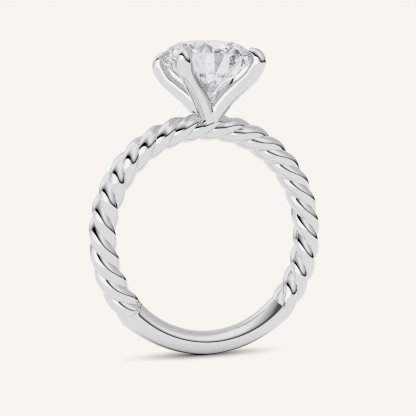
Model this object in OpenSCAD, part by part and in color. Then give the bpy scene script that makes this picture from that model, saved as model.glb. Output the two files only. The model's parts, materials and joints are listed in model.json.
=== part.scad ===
/* [Rope stretch] */
// Inside diameter of the ring, measured between the strands' inner crests
finger_d = 16.42; // [15:0.01:20]
// Radius of each round strand of the rope
strand_r = 0.795; // [0.65:0.005:0.85]
// Distance from the rope's centre line to the middle of each strand
strand_off = 0.4; // [0.3:0.01:0.45]
// Turns that a strand makes round the rope's centre line in one trip round the ring
rope_turns = 10.244; // [8:0.001:12]
// Turn of the first strand where the ring's angle is zero, in degrees
strand_start = 102.2; // [0:0.1:120]
// Ring angle where the rope begins, in degrees, a quarter turn before the setting being 0
rope_from = -43.6; // [-60:0.1:-30]
// Ring angle where the rope ends
rope_to = 221.2; // [210:0.1:240]

/* [Plain stretch] */
// Thickness of the plain stretch at its middle, from the finger outwards
plain_t = 2.04; // [1.5:0.02:2.4]
// Width of the plain stretch, along the finger
plain_w = 1.88; // [1.5:0.02:2.4]
// How far the plain stretch's inside stands back from the strands' inner crests
plain_back = 0.08; // [0:0.005:0.1]
// How far the plain stretch's ends stand out past the strands' outer crests
plain_end_out = 0.05; // [0:0.01:0.1]

/* [Stone] */
// Diameter of the round brilliant at its girdle
stone_d = 8.3; // [7:0.1:9]
// Height of the girdle's middle above the ring's centre
girdle_up = 15.3; // [14.8:0.05:15.6]
// Thickness of the girdle where the main facets reach it
girdle_t = 0.22; // [0.18:0.01:0.3]
// Width of the table, corner to corner, as a share of the diameter
table_share = 0.575; // [0.53:0.005:0.62]
// Slope of the eight main crown facets
crown_angle = 34; // [32:0.25:36]
// Slope of the eight main pavilion facets
pavilion_angle = 40.75; // [40:0.25:42]
// Share of the crown's slope that the star facets cover
star_share = 0.53; // [0.45:0.01:0.6]
// Share of the pavilion's slope that the lower halves cover
lower_share = 0.77; // [0.7:0.01:0.85]
// Turn of the stone in its setting
stone_turn = 0; // [0:0.5:45]

/* [Setting] */
// How far the four prongs stand off the stone's axis, to the right
prongs_shift = 0.125; // [-0.2:0.005:0.2]
// Turn of the four prongs about the stone's axis, in degrees
prongs_turn = -1.15; // [-3:0.05:3]
// How square the prongs are below their claws, 2 being round
prong_square = 3.2; // [2:0.1:6]
// How much wider than its middle a prong's inner face is, as a share, and the outer narrower
prong_keystone = 0.1; // [0:0.01:0.15]
// Room between the stone and the metal that holds it
seat_gap = 0.04; // [0.03:0.01:0.1]

/* [Hidden] */

// Each row is a place on a prong's centre line: how far it is from the stone's axis sideways and
// to the front or back, its height above the ring's centre, and half the prong's width there.
PRONG = [
    [0.10, 0.28, 9.35, 0.50],
    [0.22, 0.49, 9.90, 0.557],
    [0.453, 0.721, 10.48, 0.592],
    [0.811, 0.97, 11.09, 0.642],
    [1.385, 1.463, 11.91, 0.646],
    [2.169, 2.183, 12.77, 0.617],
    [2.762, 2.793, 13.44, 0.591],
    [3.099, 3.129, 14.01, 0.605],
    [3.295, 3.297, 14.60, 0.638],
    [3.30, 3.30, 15.08, 0.625],
    [3.15, 3.15, 15.40, 0.55],
    [2.92, 2.92, 15.55, 0.46],
];
SIDE = 0;
FRONT = 1;
UP = 2;
HALF_WIDTH = 3;
prong_sides = 16;
// The prongs go over from square to round between these heights.
square_to = 13.8;
round_from = 15;
// The round end of a claw: turns of its rings from the last row's ring, in degrees.
END_TURNS = [30, 60];

// The rope: three equal strands, and columns of points that follow them from groove to groove.
strands = 3;
strand_columns = 7;
columns = strands * strand_columns;
column_turn = 360 / columns;
rope_centre_r = finger_d / 2 + strand_off + strand_r;
section_step = column_turn / rope_turns;
fade_angle = 2.5;
rope_sections = ceil((rope_to + fade_angle - rope_from) / section_step);
twist_to = rope_from + rope_sections * section_step;
// The strands rise to their full height within this angle.
end_blend = 0.6;

// The plain stretch: coarse sections on both sides of the bottom of the ring.
plain_sections = 13;
bottom_angle = 270;
plain_inner_r = finger_d / 2 + plain_back;
plain_outer_r = plain_inner_r + plain_t;
end_outer_r = rope_centre_r + strand_off + strand_r + plain_end_out;
end_reach = 46;
oval_start = 0.75;

girdle_r = stone_d / 2;
// The tips of the main facets stop this far short of the girdle's edge.
tip_gap = 0.01;
table_r = girdle_r * table_share;
crown_h = (girdle_r - table_r) * tan(crown_angle);
table_up = girdle_up + girdle_t / 2 + crown_h;
facet_size = 4 * stone_d;

// The ring lies on its back: on the plain stretch, and on the stone's girdle or the left back
// claw, level with this row of the prongs' table, whichever stands out more.
CLAW_ROW = 8;
rest_points = concat(
    [for (side = [-1, 1]) [girdle_up + side * girdle_t / 2, -girdle_r]],
    [
        for (p = prong_ring(CLAW_ROW, -1, -1))
            [p.y, p.z * cos(prongs_turn) - p.x * sin(prongs_turn)]
    ]
);
plain_mid_r = (plain_inner_r + plain_outer_r) / 2;
tilt = max([for (p = rest_points) tilt_on(p)]);
rest = [for (p = rest_points) if (tilt_on(p) == tilt) p][0];
lift = -rest[1] * cos(tilt) - rest[0] * sin(tilt);
head_end = table_up * cos(tilt) + table_r * sin(tilt);
foot_end = plain_mid_r * cos(tilt) + norm([plain_t * cos(tilt), plain_w * sin(tilt)]) / 2;
centring = (foot_end - head_end) / 2;

// The ring's tilt when it rests on the point p, which is [height above the ring's centre, forward].
function tilt_on(p) =
    let (span = p[0] + plain_mid_r)
    atan(-p[1] / span) - asin(plain_w / 2 / norm([span, p[1]]));

function limit(x, low, high) = min(max(x, low), high);

function smooth(x) = let (t = limit(x, 0, 1)) t * t * (3 - 2 * t);

function mix(a, b, part) = a + (b - a) * part;

// Radius of the rope's section on a ray, u degrees from a strand's crest.
function rope_radius(u) = strand_off * cos(u) + sqrt(strand_r ^ 2 - (strand_off * sin(u)) ^ 2);

function column_angle(j) = (j % strand_columns) * column_turn - 180 / strands;

function turn_at(a) = strand_start + rope_turns * limit(a, rope_from, twist_to);

// How far a place is from the bottom of the ring, 0 there and 1 where the rope begins.
function end_part(a) = min(abs(a - bottom_angle), abs(a + 360 - bottom_angle)) / end_reach;

function outer_at(a) = mix(plain_outer_r, end_outer_r, min(end_part(a), 1) ^ 2);

function centre_at(a) = mix(rope_centre_r, (plain_inner_r + outer_at(a)) / 2, plain_part(a));

// Radius of the plain stretch's oval section on a ray, t degrees from straight outwards.
function oval_radius(a, t) =
    let (half_t = (outer_at(a) - plain_inner_r) / 2)
    1 / norm([cos(t) / half_t, sin(t) / (plain_w / 2)]);

// 1 on the plain stretch and 0 on the rope: sudden where the rope begins, gentle where it ends.
function plain_part(a) = 1 - smooth((a - rope_from) / end_blend) + smooth((a - rope_to) / fade_angle);

// The oval that the strands grow out of stops under them, a little past each end of the rope.
function oval_part(a) =
    max(1 - (a - rope_from) / fade_angle * 2, 1 + (a - rope_to) / fade_angle, 0);

function section_radius(a, j, t) =
    let (oval = oval_radius(a, t))
    max(
        oval * mix(oval_start, 1, min(oval_part(a), 1)),
        mix(rope_radius(column_angle(j)), oval, plain_part(a))
    );

function band_point(a, j) =
    let (
        t = turn_at(a) + j * column_turn - 180 / strands,
        r = section_radius(a, j, t),
        out = centre_at(a) + r * cos(t)
    )
    [out * cos(a), out * sin(a), r * sin(t)];

// Ring angles of all sections, once round from the bottom of the ring.
function spread(from, to, count) = [for (i = [0 : count - 1]) from + (to - from) * i / count];

section_angles = concat(
    spread(bottom_angle - 360, rope_from, plain_sections),
    [rope_from, rope_from + end_blend],
    spread(rope_from + section_step, twist_to, rope_sections - 1),
    spread(twist_to, bottom_angle, plain_sections)
);

// The rope's whole number of column turns brings the last section's columns onto the first's.
module band() {
    count = len(section_angles);
    points = [for (a = section_angles) for (j = [0 : columns - 1]) band_point(a, j)];
    function at(i, j) =
        let (shift = i < count ? 0 : rope_sections)
        (i % count) * columns + (j + shift) % columns;
    faces = [
        for (i = [0 : count - 1])
            for (j = [0 : columns - 1])
                each [
                    [at(i, j), at(i, j + 1), at(i + 1, j)],
                    [at(i + 1, j), at(i, j + 1), at(i + 1, j + 1)]
                ]
    ];
    polyhedron(points, faces);
}

function unit(v) = v / norm(v);

// Side and front, which tell the four prongs apart, are each 1 or -1.
function prong_place(i, side, front) =
    [side * PRONG[i][SIDE] + prongs_shift, PRONG[i][UP], front * PRONG[i][FRONT]];

function prong_along(i, side, front) =
    unit(
        prong_place(min(i + 1, len(PRONG) - 1), side, front)
        - prong_place(max(i - 1, 0), side, front)
    );

function squareness(up) = mix(prong_square, 2, smooth((up - square_to) / (round_from - square_to)));

function squared(v, power) = sign(v) * abs(v) ^ (2 / power);

// A ring of points round a prong at one row of its table. In a claw's end the ring has turned
// towards the tip by q degrees.
function prong_ring(i, side, front, q = 0) =
    let (
        along = prong_along(i, side, front),
        sideways = [-front, 0, side] / sqrt(2),
        a = unit(sideways - along * (sideways * along)),
        b = cross(along, a),
        power = squareness(PRONG[i][UP]),
        half = PRONG[i][HALF_WIDTH],
        middle = prong_place(i, side, front) + along * half * sin(q)
    )
    [
        for (k = [0 : prong_sides - 1])
            let (
                t = k * 360 / prong_sides,
                y = squared(sin(t), power),
                x = squared(cos(t), power) * (1 - prong_keystone * y)
            )
            middle + half * cos(q) * (a * x + b * y)
    ];

module prong(side, front) {
    last = len(PRONG) - 1;
    rings = concat(
        [for (i = [0 : last]) prong_ring(i, side, front)],
        [for (q = END_TURNS) prong_ring(last, side, front, q)]
    );
    along = prong_along(last, side, front);
    points = concat(
        [for (ring = rings) each ring],
        [prong_place(0, side, front)],
        [prong_place(last, side, front) + along * PRONG[last][HALF_WIDTH]]
    );
    foot = len(points) - 2;
    tip = len(points) - 1;
    function at(i, k) = i * prong_sides + k % prong_sides;
    faces = [
        for (k = [0 : prong_sides - 1])
            each concat(
                [
                    [foot, at(0, k), at(0, k + 1)],
                    [tip, at(len(rings) - 1, k + 1), at(len(rings) - 1, k)]
                ],
                [
                    for (i = [0 : len(rings) - 2])
                        each [
                            [at(i, k), at(i + 1, k), at(i, k + 1)],
                            [at(i, k + 1), at(i + 1, k), at(i + 1, k + 1)]
                        ]
                ]
            )
    ];
    polyhedron(points, faces);
}

module setting() {
    rotate([0, prongs_turn, 0])
        for (side = [-1, 1])
            for (front = [-1, 1])
                prong(side, front);
}

// Everything on the inner side of one facet's plane, which holds the point [r, up] of the
// stone's profile in the direction az, and leans from level by slope.
module facet(az, slope, r, up, grow) {
    rotate([0, 0, az])
        translate([r, 0, up])
            rotate([0, slope, 0])
                translate([-facet_size / 2, -facet_size / 2, grow - facet_size])
                    cube(facet_size);
}

function plane_normal(a, b, c) = let (n = cross(b - a, c - a)) n / norm(n);

function at_azimuth(az, r, up) = [r * cos(az), r * sin(az), up];

// A facet through three corners that are given anticlockwise, seen from outside.
module facet_through(a, b, c, grow) {
    n = plane_normal(a, b, c);
    across = norm([n.x, n.y]);
    facet(atan2(n.y, n.x), atan2(across, n.z), (a * [n.x, n.y, 0]) / across, a.z, grow);
}

// The round brilliant about the Z axis, its girdle's middle at zero. Grow moves every face out.
module brilliant(grow) {
    half = girdle_t / 2;
    eighth = 360 / 8;
    star_r = mix(table_r * cos(eighth / 2), girdle_r, star_share);
    star_up = half + (girdle_r - star_r * cos(eighth / 2)) * tan(crown_angle);
    lower_r = girdle_r * (1 - lower_share);
    lower_up = -half - (girdle_r - lower_r * cos(eighth / 2)) * tan(pavilion_angle);
    star_slope = atan2(half + crown_h - star_up, star_r - table_r * cos(eighth / 2));
    function crown_rim(step) = at_azimuth(step * eighth / 2, girdle_r, half);
    function pavilion_rim(step) = at_azimuth(step * eighth / 2, girdle_r, -half);
    function star_tip(k) = at_azimuth((k + 0.5) * eighth, star_r, star_up);
    function lower_tip(k) = at_azimuth((k + 0.5) * eighth, lower_r, lower_up);
    intersection() {
        translate([0, 0, -facet_size / 2])
            cylinder(r = girdle_r + grow, h = facet_size, $fn = 96);
        facet(0, 0, 0, half + crown_h, grow);
        intersection_for(k = [0 : 7])
            facet(k * eighth, crown_angle, girdle_r, half + tip_gap, grow);
        intersection_for(k = [0 : 7])
            facet((k + 0.5) * eighth, star_slope, star_r, star_up, grow);
        intersection_for(step = [0 : 15])
            facet_through(crown_rim(step), crown_rim(step + 1), star_tip(floor(step / 2)), grow);
        intersection_for(k = [0 : 7])
            facet(k * eighth, 180 - pavilion_angle, girdle_r, -half - tip_gap, grow);
        intersection_for(step = [0 : 15])
            facet_through(pavilion_rim(step + 1), pavilion_rim(step), lower_tip(floor(step / 2)), grow);
    }
}

// The ring as it lies, from the flat frame where it is drawn about Z with its head along Y.
module lying() {
    translate([0, centring, lift])
        rotate([tilt, 0, 0])
            children();
}

module in_setting() {
    translate([0, girdle_up, 0])
        rotate([-90, 0, 0])
            rotate([0, 0, stone_turn])
                children();
}

module band_with_setting() {
    color("silver")
        lying()
            difference() {
                union() {
                    band();
                    setting();
                }
                in_setting()
                    brilliant(seat_gap);
            }
}

module stone() {
    color("white")
        lying()
            in_setting()
                brilliant(0);
}

band_with_setting();
stone();
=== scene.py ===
import json
import math

import bpy
import numpy as np
from mathutils import Matrix, Vector


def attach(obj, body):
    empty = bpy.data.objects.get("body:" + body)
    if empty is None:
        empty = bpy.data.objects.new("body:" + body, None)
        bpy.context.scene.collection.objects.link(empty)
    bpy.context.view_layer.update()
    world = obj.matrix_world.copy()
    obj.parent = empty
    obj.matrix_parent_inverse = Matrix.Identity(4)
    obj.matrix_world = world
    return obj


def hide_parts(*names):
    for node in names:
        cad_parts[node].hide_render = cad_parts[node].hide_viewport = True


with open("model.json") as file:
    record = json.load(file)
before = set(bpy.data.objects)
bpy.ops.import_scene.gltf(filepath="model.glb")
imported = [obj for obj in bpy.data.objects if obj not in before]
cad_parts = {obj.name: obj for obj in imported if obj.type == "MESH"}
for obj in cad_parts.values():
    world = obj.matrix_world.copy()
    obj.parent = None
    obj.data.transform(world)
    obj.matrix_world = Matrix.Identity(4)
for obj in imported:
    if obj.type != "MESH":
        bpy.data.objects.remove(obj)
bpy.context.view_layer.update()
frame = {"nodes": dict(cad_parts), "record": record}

# The shank. Three round strands of white gold are twisted into a rope over three quarters of the
# ring, and run into a plain oval band at the bottom, where a size is cut and soldered. The whole
# ring is cast in 14 ct white gold, polished and plated with rhodium.

# Sizes in millimetres and angles in degrees, in the frame of the finger hole: x is to the ring's
# right, y is towards the stone and z towards the ring's front. Ring angles go from x to y.
# strand_off is how far a strand's middle is from the rope's, strand_start how far the strands
# have turned at ring angle 0, and plain_back how far the plain band keeps back from the finger.
finger_d = 16.42
strand_r = 0.795
strand_off = 0.4
rope_turns = 10.244
strand_start = 102.2
rope_from = -43.6
rope_to = 221.2
fade_angle = 2.5
end_blend = 0.1
plain_t = 2.04
plain_w = 1.88
plain_back = 0.08
plain_end_out = 0.05
end_reach = 46
oval_start = 0.75

strands = 3
strand_columns = 24
columns = strands * strand_columns
column_turn = 360 / columns
section_step = column_turn / rope_turns
rope_sections = math.ceil((rope_to + fade_angle - rope_from) / section_step)
twist_to = rope_from + rope_sections * section_step
plain_step = 1.2
bottom_angle = 270
rope_centre_r = finger_d / 2 + strand_off + strand_r
plain_inner_r = finger_d / 2 + plain_back
end_outer_r = rope_centre_r + strand_off + strand_r + plain_end_out

hole = frame["record"]["mounts"][0]
hole_centre = np.array(hole["pos_m"])
ring_right = np.array([1.0, 0.0, 0.0])
ring_front = np.array(hole["axis"]) / np.linalg.norm(hole["axis"])
ring_up = np.cross(ring_front, ring_right)
MILLIMETRE = 0.001


def lying(points):
    """From the finger hole's frame in millimetres to where the ring lies, in metres."""
    turned = points @ np.stack([ring_right, ring_up, ring_front])
    return turned * MILLIMETRE + hole_centre


def smooth(x):
    """0 below 0 and 1 above 1, and between them 3x^2 - 2x^3."""
    x = np.clip(x, 0, 1)
    return x * x * (3 - 2 * x)


def mix(a, b, part):
    """a where part is 0, b where it is 1."""
    return a + (b - a) * part


def shank_points(angle, column):
    """Points of the shank at ring angles and columns of a grid.

    The rope's section is three circles of radius strand_r, whose middles stand strand_off from
    the centre line: r = off cos u + sqrt(strand_r^2 - (off sin u)^2), u from the nearest crest.
    The plain band's section is an oval. One goes over into the other at both ends of the rope,
    and the oval's core runs on a little way under the strands.
    """
    u = np.radians((column % strand_columns) * column_turn - 180 / strands)
    rope = strand_off * np.cos(u) + np.sqrt(strand_r**2 - (strand_off * np.sin(u)) ** 2)
    twist = strand_start + rope_turns * np.clip(angle, rope_from, twist_to)
    t = np.radians(twist + column * column_turn - 180 / strands)
    from_bottom = np.minimum(abs(angle - bottom_angle), abs(angle + 360 - bottom_angle))
    to_end = np.minimum(from_bottom / end_reach, 1) ** 2
    outer_r = mix(plain_inner_r + plain_t, end_outer_r, to_end)
    oval = 1 / np.hypot(np.cos(t) * 2 / (outer_r - plain_inner_r), np.sin(t) * 2 / plain_w)
    is_plain = 1 - smooth((angle - rope_from) / end_blend) + smooth((angle - rope_to) / fade_angle)
    under = np.maximum(1 - (angle - rope_from) / fade_angle * 2, 1 + (angle - rope_to) / fade_angle)
    core = oval * mix(oval_start, 1, np.clip(under, 0, 1))
    core = np.where(under > 0, core, 0)
    radius = np.maximum(core, mix(rope, oval, is_plain))
    centre = mix(rope_centre_r, (plain_inner_r + outer_r) / 2, is_plain)
    out = centre + radius * np.cos(t)
    a = np.radians(angle)
    return np.stack([out * np.cos(a), out * np.sin(a), radius * np.sin(t)], -1)


def mesh_piece(name, points, faces, crease=30):
    """A piece from points in metres and faces, smooth but for edges sharper than crease."""
    mesh = bpy.data.meshes.new(name)
    mesh.from_pydata(points.tolist(), [], faces)
    mesh.polygons.foreach_set("use_smooth", np.ones(len(mesh.polygons), bool))
    mesh.set_sharp_from_angle(angle=math.radians(crease))
    mesh.update()
    piece = bpy.data.objects.new(name, mesh)
    bpy.context.scene.collection.objects.link(piece)
    return piece


shank_angles = np.concatenate([
    np.arange(bottom_angle - 360, rope_from - plain_step / 2, plain_step),
    [rope_from, rope_from + end_blend],
    rope_from + section_step * np.arange(1, rope_sections),
    np.arange(twist_to, bottom_angle - plain_step / 2, plain_step),
])
grid = shank_points(shank_angles[:, None], np.arange(columns)[None, :])
rows = len(shank_angles)
index = np.arange(rows * columns).reshape(rows, columns)
# The rope has turned by a whole number of columns when it comes back to its first section.
after = np.vstack([index[1:], np.roll(index[0], -(rope_sections % columns))])
faces = np.stack([index, after, np.roll(after, -1, 1), np.roll(index, -1, 1)], -1).reshape(-1, 4)
shank = mesh_piece("shank", lying(grid.reshape(-1, 3)), faces.tolist())


def srgb(code):
    """A six-figure sRGB hex colour as linear red, green, blue and alpha."""
    parts = [int(code[i:i + 2], 16) / 255 for i in (0, 2, 4)]
    return [p / 12.92 if p <= 0.04045 else ((p + 0.055) / 1.055) ** 2.4 for p in parts] + [1]


def add(tree, kind, inputs=(), **settings):
    """Adds a node, sets its properties and its inputs, or links them, and gives its outputs.

    Inputs come in a dict by name, or in a list in the node's order.
    """
    node = tree.nodes.new("ShaderNode" + kind)
    for name, value in settings.items():
        setattr(node, name, value)
    for name, value in inputs.items() if isinstance(inputs, dict) else enumerate(inputs):
        if isinstance(value, bpy.types.NodeSocket):
            tree.links.new(value, node.inputs[name])
        else:
            node.inputs[name].default_value = value
    return node.outputs


def new_material(name):
    """An empty node material and its tree."""
    material = bpy.data.materials.new(name)
    material.use_nodes = True
    material.node_tree.nodes.clear()
    return material, material.node_tree


# What the polishing wheel leaves: patches a little over a millimetre wide that are more or less
# glossy, and a hardly visible ripple of about the same width.
RHODIUM = "e3e3e3"
GLOSS = [0.02, 0.05]
haze_per_mm = 0.9
ripple_per_mm = 0.7
ripple_depth = 0.1
RIPPLE_STRENGTH = 0.02


def rhodium_plated_gold():
    """Mirror-polished white gold under rhodium: a cool, bright grey with a trace of polish."""
    material, tree = new_material("rhodium_plated_white_gold")
    place = add(tree, "TexCoord")["Object"]
    haze = add(tree, "TexNoise", {
        "Vector": place, "Scale": haze_per_mm / MILLIMETRE, "Detail": 3.0,
    })["Fac"]
    gloss = add(tree, "MapRange", {"Value": haze, "To Min": GLOSS[0], "To Max": GLOSS[1]})[0]
    ripple = add(tree, "TexNoise", {
        "Vector": place, "Scale": ripple_per_mm / MILLIMETRE, "Detail": 1.0,
    })["Fac"]
    relief = add(tree, "Bump", {
        "Height": ripple, "Strength": RIPPLE_STRENGTH, "Distance": ripple_depth * MILLIMETRE,
    })["Normal"]
    surface = add(tree, "BsdfPrincipled", {
        "Base Color": srgb(RHODIUM), "Metallic": 1.0, "Roughness": gloss, "Normal": relief,
    })["BSDF"]
    add(tree, "OutputMaterial", {"Surface": surface})
    return material


white_gold = rhodium_plated_gold()
shank.data.materials.append(white_gold)
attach(shank, "root")
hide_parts("band_with_setting")

# The setting. Four tapered prongs of the same white gold spring from one foot on the rope, lean
# out under the stone and close over its edge as round claws. A seat is cut in each for the stone.

# Each row is a place on a prong's centre line: its distance from the stone's axis sideways and
# to the front or back, its height above the finger hole's middle, and half the width there.
PRONG = np.array([
    [0.10, 0.28, 9.35, 0.50],
    [0.22, 0.49, 9.90, 0.557],
    [0.453, 0.721, 10.48, 0.592],
    [0.811, 0.97, 11.09, 0.642],
    [1.385, 1.463, 11.91, 0.646],
    [2.169, 2.183, 12.77, 0.617],
    [2.762, 2.793, 13.44, 0.591],
    [3.099, 3.129, 14.01, 0.605],
    [3.295, 3.297, 14.60, 0.638],
    [3.30, 3.30, 15.08, 0.625],
    [3.15, 3.15, 15.40, 0.55],
    [2.92, 2.92, 15.55, 0.46],
])
prongs_shift = 0.125
prongs_turn = math.radians(-1.15)
prong_square = 3.2
prong_keystone = 0.1
square_to = 13.8
round_from = 15
seat_gap = 0.04
prong_sides = 64
row_sections = 12
cap_sections = 12
crotch_blend = 0.25
blend_rounds = 4


def spline(rows, count):
    """The Catmull-Rom curve through these rows, with count places from each row to the next.

    From one row to the next it is the cubic whose slope at each row is half the step from the
    row before to the row after.
    """
    ends = np.vstack([2 * rows[0] - rows[1], rows, 2 * rows[-1] - rows[-2]])
    before, start, end, after = (ends[k:len(ends) - 3 + k, None] for k in range(4))
    t = np.arange(count)[None, :, None] / count
    curve = start + (
        (end - before) * t
        + (2 * before - 5 * start + 4 * end - after) * t**2
        + (3 * start - before - 3 * end + after) * t**3
    ) / 2
    return np.vstack([curve.reshape(-1, rows.shape[1]), rows[-1:]])


def prong_line(side, front):
    """Centre line and half width of one prong; side and front are each 1 or -1.

    The rows' curve is mirrored to that side, shifted and then turned about the stone's axis.
    """
    across, forward, height, half = spline(PRONG, row_sections).T
    x, z = across * side + prongs_shift, forward * front
    turned_x = x * math.cos(prongs_turn) + z * math.sin(prongs_turn)
    turned_z = z * math.cos(prongs_turn) - x * math.sin(prongs_turn)
    return np.stack([turned_x, height, turned_z], -1), half


def swept(line, half, side_way):
    """A bar along a line, and which way its surface faces.

    Sections stand square to the line: |x|^p + |y|^p = half^p, where p goes from prong_square on
    the shaft to 2, a circle, in the claw; x then shrinks a little outwards, as 1 - keystone y.
    Both ends close as half spheres: the middle of a section runs on by half sin q while it
    shrinks to half cos q, q from 0 to 90 degrees.
    """
    along = np.gradient(line, axis=0)
    along /= np.linalg.norm(along, axis=1, keepdims=True)
    q = np.linspace(0, np.pi / 2, cap_sections + 1)[1:, None]
    start = line[0] - along[0] * half[0] * np.sin(q[::-1])
    end = line[-1] + along[-1] * half[-1] * np.sin(q)
    middle = np.vstack([start, line, end])
    size = np.concatenate([half[0] * np.cos(q[::-1, 0]), half, half[-1] * np.cos(q[:, 0])])
    lean = np.concatenate([-q[::-1, 0], np.zeros(len(line)), q[:, 0]])[:, None, None]
    along = np.vstack([np.repeat(along[:1], cap_sections, 0), along,
                       np.repeat(along[-1:], cap_sections, 0)])
    a = side_way - along * (along @ side_way)[:, None]
    a /= np.linalg.norm(a, axis=1, keepdims=True)
    b = np.cross(along, a)
    rounding = smooth((middle[:, 1] - square_to) / (round_from - square_to))
    power = mix(prong_square, 2, rounding)[:, None, None]
    turn = np.linspace(0, 2 * np.pi, prong_sides, endpoint=False)[None, :, None]
    cos, sin = np.cos(turn), np.sin(turn)
    x, y = np.array([cos, sin]) * (abs(cos) ** power + abs(sin) ** power) ** (-1 / power)
    x = x * (1 - prong_keystone * y)
    facing_x, facing_y = (np.sign(v) * abs(v) ** (power - 1) for v in (cos, sin))
    round_way = a[:, None] * facing_x + b[:, None] * facing_y
    round_way /= np.linalg.norm(round_way, axis=-1, keepdims=True)
    facing = round_way * np.cos(lean) + along[:, None] * np.sin(lean)
    return middle[:, None] + (a[:, None] * x + b[:, None] * y) * size[:, None, None], facing


def blended(points, facing, others):
    """Points pushed out so that bars run together in a fillet, not in a sharp crotch.

    Where another bar's surface is e away, the smooth union of the two stands (k - e)^2 / 4k
    off this one, k being the reach of the fillet.
    """
    pushed = points
    for _ in range(blend_rounds):
        away = np.min([
            (np.linalg.norm(pushed[..., None, :] - line, axis=-1) - half).min(-1)
            for line, half in others
        ], axis=0)
        off = np.linalg.norm(pushed - points, axis=-1)
        reach = np.clip(crotch_blend - np.maximum(away - off, 0), 0, None)
        pushed = points + facing * (reach**2 / (4 * crotch_blend))[..., None]
    return pushed


def seated(points, node, gap):
    """Points in metres moved straight out of a cut stone's room, through its nearest facet."""
    mesh = frame["nodes"][node].data
    facing = np.empty(len(mesh.polygons) * 3)
    mesh.polygons.foreach_get("normal", facing)
    middle = np.empty(len(mesh.polygons) * 3)
    mesh.polygons.foreach_get("center", middle)
    facing, middle = facing.reshape(-1, 3), middle.reshape(-1, 3)
    # The triangles of one facet have the same plane to within a micrometre.
    planes = np.unique(np.round(np.column_stack([facing, (facing * middle).sum(1)]), 6), axis=0)
    depth = points @ planes[:, :3].T - planes[:, 3] - gap
    nearest = depth.argmax(-1)
    inside = np.minimum(depth.max(-1), 0)
    return points - planes[nearest, :3] * inside[..., None]


def closed_bar_faces(rings, sides, first):
    """Quads between the rings of a bar, whose first and last rings are single points.

    The bar's points are numbered from first on.
    """
    index = np.arange((rings - 2) * sides).reshape(rings - 2, sides) + first + 1
    round_on = np.roll(index, -1, 1)
    quads = np.stack([index[:-1], round_on[:-1], round_on[1:], index[1:]], -1).reshape(-1, 4)
    last = first + index.size + 1
    first_fan = np.stack([np.full(sides, first), round_on[0], index[0]], -1)
    last_fan = np.stack([np.full(sides, last), index[-1], round_on[-1]], -1)
    return quads.tolist() + first_fan.tolist() + last_fan.tolist()


places = [(side, front) for side in (-1, 1) for front in (-1, 1)]
lines = [prong_line(side, front) for side, front in places]
bars = []
for k, (side, front) in enumerate(places):
    corner_turn = math.atan2(-front, side) + prongs_turn
    side_way = np.array([math.sin(corner_turn), 0.0, math.cos(corner_turn)])
    surface, facing = swept(*lines[k], side_way)
    surface = blended(surface, facing, [line for i, line in enumerate(lines) if i != k])
    # The two poles are single points.
    bars.append(np.vstack([surface[0, :1], surface[1:-1].reshape(-1, 3), surface[-1, :1]]))
setting_faces = []
for k in range(len(bars)):
    setting_faces += closed_bar_faces(len(surface), prong_sides, k * len(bars[0]))
setting_points = seated(lying(np.vstack(bars)), "stone", seat_gap * MILLIMETRE)
setting = mesh_piece("prong_setting", setting_points, setting_faces)
setting.data.materials.append(white_gold)
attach(setting, "root")
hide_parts("band_with_setting")

# The stone. One colourless round brilliant diamond of two carats, cut with 57 flat facets and
# polished; it is held by the claws alone, so light comes in from all sides.
DIAMOND = "efeff2"
DIAMOND_IOR = 2.417


def colourless_diamond():
    """Clear diamond: no roughness, a trace of grey, and an index that turns light back inside."""
    material, tree = new_material("colourless_diamond")
    surface = add(tree, "BsdfPrincipled", {
        "Base Color": srgb(DIAMOND), "Roughness": 0.0, "IOR": DIAMOND_IOR,
        "Transmission Weight": 1.0,
    })["BSDF"]
    add(tree, "OutputMaterial", {"Surface": surface})
    return material


stone = frame["nodes"]["stone"]
stone.data.materials.clear()
stone.data.materials.append(colourless_diamond())

# The studio: a pale light table under the ring, as wide as the room. Its opal sheet is lit from
# below and so evenly bright, but for a thin soft painted shadow in its glow along the line where
# the foot rests. The table's size is in metres, and the painted shadow's middle in y and half
# sizes are in millimetres.
table_size = 6.0
OPAL = "f8f4f0"
painted_shadow_at = -13.5
painted_shadow_half_length = 8.5
painted_shadow_half_width = 0.6
PAINTED_SHADOW_DEPTH = 1.25


def light_table():
    """Warm-white opal acrylic that glows evenly, less so in a long thin painted shadow of the
    ring's foot.

    The share of its light that it lacks is PAINTED_SHADOW_DEPTH (1 - r)^2, where r is 1 all round
    the edge of the painted shadow, an ellipse, and 0 in its middle.
    """
    material, tree = new_material("opal_acrylic")
    place = add(tree, "Mapping", {
        "Vector": add(tree, "TexCoord")["Object"],
        "Location": (0.0, painted_shadow_at * MILLIMETRE, 0.0),
        "Scale": (painted_shadow_half_length * MILLIMETRE, painted_shadow_half_width * MILLIMETRE, 1.0),
    }, vector_type="TEXTURE")[0]
    # Painted shadow: the table's glow is lowered in a thin ellipse along the foot, not shaded by
    # any lamp.
    painted_shadow_falloff = add(tree, "TexGradient", {"Vector": place}, gradient_type="QUADRATIC_SPHERE")["Fac"]
    painted_shadow_amount = add(tree, "Math", [painted_shadow_falloff, PAINTED_SHADOW_DEPTH], operation="MULTIPLY", use_clamp=True)[0]
    glow = add(tree, "Math", [1.0, painted_shadow_amount], operation="SUBTRACT")[0]
    surface = add(tree, "BsdfPrincipled", {
        "Base Color": srgb("000000"), "Roughness": 1.0, "Specular IOR Level": 0.0,
        "Emission Color": srgb(OPAL), "Emission Strength": glow,
    })["BSDF"]
    add(tree, "OutputMaterial", {"Surface": surface})
    return material


corner = table_size / 2
table_points = np.array([[-corner, -corner, 0], [corner, -corner, 0], [corner, corner, 0],
                         [-corner, corner, 0]])
table = mesh_piece("table", table_points, [[0, 1, 2, 3]])
table.data.materials.append(light_table())
# The ring mirrors the room's own lower half, which is as pale as the table but even all over.
table.visible_glossy = False
table.visible_transmission = False

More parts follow.
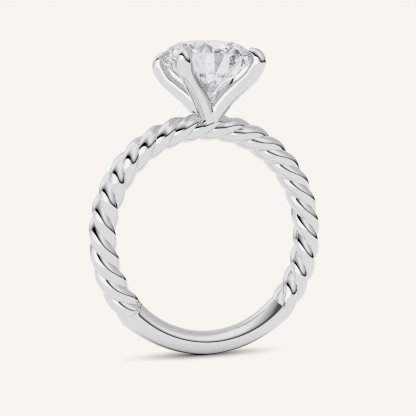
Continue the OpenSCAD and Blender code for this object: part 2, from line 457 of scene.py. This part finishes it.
# A glowing grey card with a painted shade stands on the table along the foot. It is out of the
# camera's sight and casts no shadow. The plain band mirrors it and so darkens softly towards its
# outer edge: a painted reflection of the shade that a ring throws. Its sizes are in the finger
# hole's frame: half its length in x, its two edges in z, and how far it is below the foot.
# TABLE_LIGHT is how bright the table looks in the ring.
TABLE_LIGHT = 0.92
CARD_PAINTED_SHADE = 0.21
card_half_length = 8
card_z = [-0.8, 6]
card_gap = 0.02


def painted_shadow_card():
    """Glowing grey card with a painted shade, darker towards the foot.

    The share of light it lacks is CARD_PAINTED_SHADE / z, z being how far a place is to the front
    of the foot's middle in millimetres, and falls to nothing at the card's left and right ends.
    """
    material, tree = new_material("painted_shadow_card")
    place = add(tree, "VectorMath", [add(tree, "TexCoord")["Object"], hole_centre],
                operation="SUBTRACT")[0]
    front = add(tree, "VectorMath", [place, ring_front / MILLIMETRE],
                operation="DOT_PRODUCT")["Value"]
    side = add(tree, "VectorMath", [place, ring_right / (card_half_length * MILLIMETRE)],
               operation="DOT_PRODUCT")["Value"]
    # Painted shade: the card's glow drops towards the foot, so the band shows a painted reflection
    # of the ring's shadow.
    away = add(tree, "Math", [front], operation="ABSOLUTE")[0]
    shade = add(tree, "Math", [CARD_PAINTED_SHADE, away], operation="DIVIDE", use_clamp=True)[0]
    off_middle = add(tree, "Math", [side, side], operation="MULTIPLY")[0]
    middle = add(tree, "Math", [1.0, off_middle], operation="SUBTRACT", use_clamp=True)[0]
    shade = add(tree, "Math", [shade, middle], operation="MULTIPLY")[0]
    light = add(tree, "Math", [shade, -TABLE_LIGHT, TABLE_LIGHT], operation="MULTIPLY_ADD")[0]
    glow = add(tree, "Emission", {"Color": srgb("ffffff"), "Strength": light})[0]
    add(tree, "OutputMaterial", {"Surface": glow})
    return material


card_y = -(plain_inner_r + plain_t + card_gap)
card_points = lying(np.array([[side * card_half_length, card_y, z]
                              for side, z in zip((-1, 1, 1, -1), np.repeat(card_z, 2))]))
card = mesh_piece("painted_shadow_card", card_points, [[0, 1, 2, 3]])
card.data.materials.append(painted_shadow_card())
card.visible_camera = False
card.visible_transmission = False
card.visible_shadow = False

# The light: a pale room round the table. A dark gap arches over it from left to right, with a
# bright reflector under it on the left and a large soft box above it on the right. Directions
# are given from the ring: turn in degrees from its front to its right, and rise to its stone.

# Each row is a direction round the room: turn, rise of the gap's middle, half its height, its
# darkness, and the light of the room under the gap and over it.
ROOM = [
    [-180, 1.5, 1.0, 0.45, 0.80, 0.74],
    [-160, 3.5, 2.0, 0.45, 0.84, 0.95],
    [-135, 11, 2.5, 0.35, 0.80, 1.02],
    [-108, 26, 3.2, 0.65, 0.91, 0.96],
    [-82, 33.5, 4.9, 1.00, 1.10, 0.94],
    [-58, 36, 5.5, 1.00, 1.18, 0.92],
    [-34, 31.5, 5.5, 1.00, 1.16, 0.92],
    [-10, 23, 5.5, 0.90, 0.86, 0.92],
    [10, 10, 4.0, 0.90, 0.80, 1.00],
    [35, 4, 2.5, 0.95, 0.80, 0.94],
    [60, 2.5, 2.0, 0.95, 0.85, 0.70],
    [108, 4, 2.5, 1.00, 0.90, 0.62],
    [140, 3, 1.5, 0.70, 0.90, 0.70],
    [180, 1.5, 1.0, 0.45, 0.80, 0.74],
]
# The gap's lower edge is sharp, and it fades away upwards, to where this many of its half heights
# are above its middle. The power shapes the fade. The room begins at the table's far edge, in a
# narrow band of rises.
gap_lower_edge = [-1.0, -1.3]
gap_fade_end = 6.0
GAP_FADE = 0.6
table_edge_rise = [-1.5, 0.5]


def studio_world():
    """Light by direction: the table's level, the room over it, and the dark gap in the room.

    off_gap is how far a direction is above the gap's middle, in half heights of the gap. The
    room goes from under to over as off_gap goes from -1 to 1, and the gap takes its darkness away.
    """
    world = bpy.data.worlds.new("studio")
    world.use_nodes = True
    tree = world.node_tree
    tree.nodes.clear()
    tilt = math.atan2(ring_up[2], ring_up[1])
    direction = add(tree, "TexCoord")["Generated"]
    turned = add(tree, "VectorRotate", {"Vector": direction, "Angle": -tilt},
                 rotation_type="X_AXIS")[0]
    x, y, z = add(tree, "SeparateXYZ", {"Vector": turned})
    rise = add(tree, "Math", [add(tree, "Math", [y], operation="ARCSINE")[0]],
               operation="DEGREES")[0]
    round_room = add(tree, "Math", [x, z], operation="ARCTAN2")[0]
    round_room = add(tree, "MapRange", {
        "Value": round_room, "From Min": -math.pi, "From Max": math.pi,
    })[0]
    # Each column of the table becomes a smooth curve of the direction round the room.
    turns, *columns_of_room = np.array(ROOM).T
    by_turn = []
    for values in columns_of_room:
        node = tree.nodes.new("ShaderNodeFloatCurve")
        points = node.mapping.curves[0].points
        for place, value in ((0, values[0]), (1, values[-1])):
            points[place].location = [place, value / values.max()]
        for turn, value in zip(turns[1:-1], values[1:-1]):
            points.new((turn - turns[0]) / (turns[-1] - turns[0]), value / values.max())
        node.mapping.update()
        tree.links.new(round_room, node.inputs["Value"])
        by_turn.append(add(tree, "Math", [node.outputs[0], values.max()],
                           operation="MULTIPLY")[0])
    gap_rise, gap_half, darkness, under, over = by_turn
    above = add(tree, "Math", [rise, gap_rise], operation="SUBTRACT")[0]
    off_gap = add(tree, "Math", [above, gap_half], operation="DIVIDE")[0]
    below_gap = add(tree, "MapRange", {
        "Value": off_gap, "From Min": gap_lower_edge[0], "From Max": gap_lower_edge[1],
    }, interpolation_type="SMOOTHSTEP")[0]
    over_gap = add(tree, "MapRange", {
        "Value": off_gap, "From Min": 1.0, "From Max": gap_fade_end,
    })[0]
    over_gap = add(tree, "Math", [over_gap, GAP_FADE], operation="POWER")[0]
    open_part = add(tree, "Math", [below_gap, over_gap], operation="ADD")[0]
    is_gap = add(tree, "Math", [1.0, open_part], operation="SUBTRACT")[0]
    shade = add(tree, "Math", [is_gap, darkness], operation="MULTIPLY")[0]
    clear = add(tree, "Math", [1.0, shade], operation="SUBTRACT")[0]
    room = add(tree, "MapRange", {
        "Value": off_gap, "From Min": -1.0, "From Max": 1.0, "To Min": under, "To Max": over,
    })[0]
    room = add(tree, "Math", [room, clear], operation="MULTIPLY")[0]
    light = add(tree, "MapRange", {
        "Value": rise, "From Min": table_edge_rise[0], "From Max": table_edge_rise[1],
        "To Min": TABLE_LIGHT, "To Max": room,
    }, interpolation_type="SMOOTHSTEP")[0]
    shine = add(tree, "Background", {"Color": srgb("ffffff"), "Strength": light})[0]
    add(tree, "OutputWorld", {"Surface": shine})
    return world


bpy.context.scene.world = studio_world()

# The camera: a long lens, a little above the ring's side-on level and turned to its left. It looks
# past the finger hole's middle, by aim_right and aim_up. Distances are in millimetres.
camera_turn = math.radians(20.87)
camera_rise = math.radians(2.06)
camera_roll = math.radians(-0.3)
camera_distance = 108.96
aim_right = 0.04
aim_up = 2.36
lens = 108.9
nearest_seen = 10

back = np.array([-math.sin(camera_turn) * math.cos(camera_rise), math.sin(camera_rise),
                 math.cos(camera_turn) * math.cos(camera_rise)])
level = np.cross([0, 1, 0], back)
level /= np.linalg.norm(level)
upright = np.cross(back, level)
right = level * math.cos(camera_roll) + upright * math.sin(camera_roll)
up = upright * math.cos(camera_roll) - level * math.sin(camera_roll)
eye = lying(back * camera_distance + right * aim_right + up * aim_up)
to_row = np.stack([ring_right, ring_up, ring_front])
camera = bpy.data.objects.new("camera", bpy.data.cameras.new("camera"))
axes = np.stack([right @ to_row, up @ to_row, back @ to_row], 1)
camera.matrix_world = Matrix.Translation(Vector(eye)) @ Matrix(axes.tolist()).to_4x4()
camera.data.lens = lens
camera.data.clip_start = nearest_seen * MILLIMETRE
scene = bpy.context.scene
scene.collection.objects.link(camera)
scene.camera = camera
scene.view_settings.view_transform = "Standard"
# A crisp picture, and enough bounces for light that turns back inside the stone.
scene.cycles.filter_width = 1.1
scene.cycles.caustics_reflective = False
scene.cycles.max_bounces = 32
scene.cycles.glossy_bounces = 24
scene.cycles.transmission_bounces = 24
